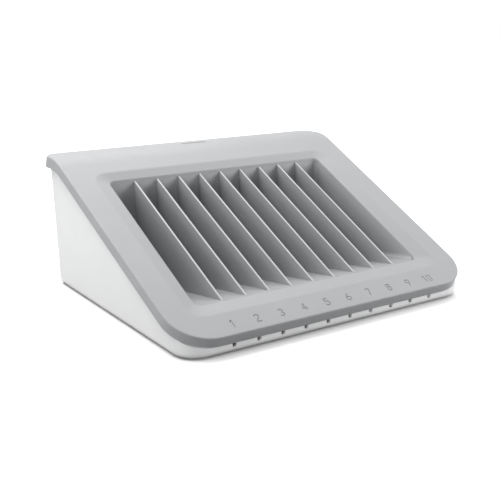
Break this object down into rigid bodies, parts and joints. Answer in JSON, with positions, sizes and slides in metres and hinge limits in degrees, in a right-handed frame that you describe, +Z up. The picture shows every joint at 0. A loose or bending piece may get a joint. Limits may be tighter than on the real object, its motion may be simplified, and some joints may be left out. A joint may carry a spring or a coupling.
{
  "type": "charging station organizer",
  "caption": "Wedge-shaped desktop charging station: hinged sloping cover with a row of upright device slots, cable notches in front and a charger inside",
  "frame": {"origin": "middle of the footprint on the table, under the feet", "axes": "+X runs along the row of slots to the right as seen from the front, +Y from the low front to the high rear, +Z up"},
  "size_m": [0.378, 0.317, 0.1515],
  "materials": {
    "base_white": "white satin moulded plastic",
    "cover_grey": "light grey satin moulded plastic",
    "well_grey": "light grey satin moulded plastic",
    "divider_grey": "light grey satin moulded plastic",
    "foot_rubber": "soft matt rubber",
    "steel": "plain zinc-coated steel",
    "charger_black": "black textured plastic",
    "board_green": "green coated circuit board",
    "port_metal": "bright pressed metal",
    "core_iron": "dull iron core",
    "can_aluminium": "drawn aluminium cans",
    "inlet_black": "black moulded plastic",
    "contact_brass": "plain brass contacts",
    "lead_rubber": "black sheathed lead",
    "rocker_black": "black moulded plastic"
  },
  "bodies": {
    "base": {"base_shell": "base_white", "feet": "foot_rubber", "hinge_pins": "steel", "charger_case": "charger_black", "charger_lid": "charger_black", "charger_board": "board_green", "usb_ports": "port_metal", "transformer": "core_iron", "capacitors": "can_aluminium", "charger_screws": "steel", "inlet_housing": "inlet_black", "inlet_blades": "contact_brass", "inlet_screws": "steel", "inlet_lead": "lead_rubber"},
    "cover": {"top_cover": "cover_grey", "slot_well": "well_grey", "well_screws": "steel", "divider_1": "divider_grey", "divider_2": "divider_grey", "divider_3": "divider_grey", "divider_4": "divider_grey", "divider_5": "divider_grey", "divider_6": "divider_grey", "divider_7": "divider_grey", "divider_8": "divider_grey", "divider_9": "divider_grey"},
    "power_switch": {"power_rocker": "rocker_black"}
  },
  "joints": [
    {"name": "cover_hinge", "type": "hinge", "parent": "base", "child": "cover", "pos_m": [0, 0.14616, 0.1307], "axis": [-1, 0, 0], "range_deg": [0, 115]},
    {"name": "rocker_pivot", "type": "hinge", "parent": "base", "child": "power_switch", "pos_m": [0.118, 0.14561, 0.0585], "axis": [1, 0, 0], "range_deg": [0, 16]}
  ]
}
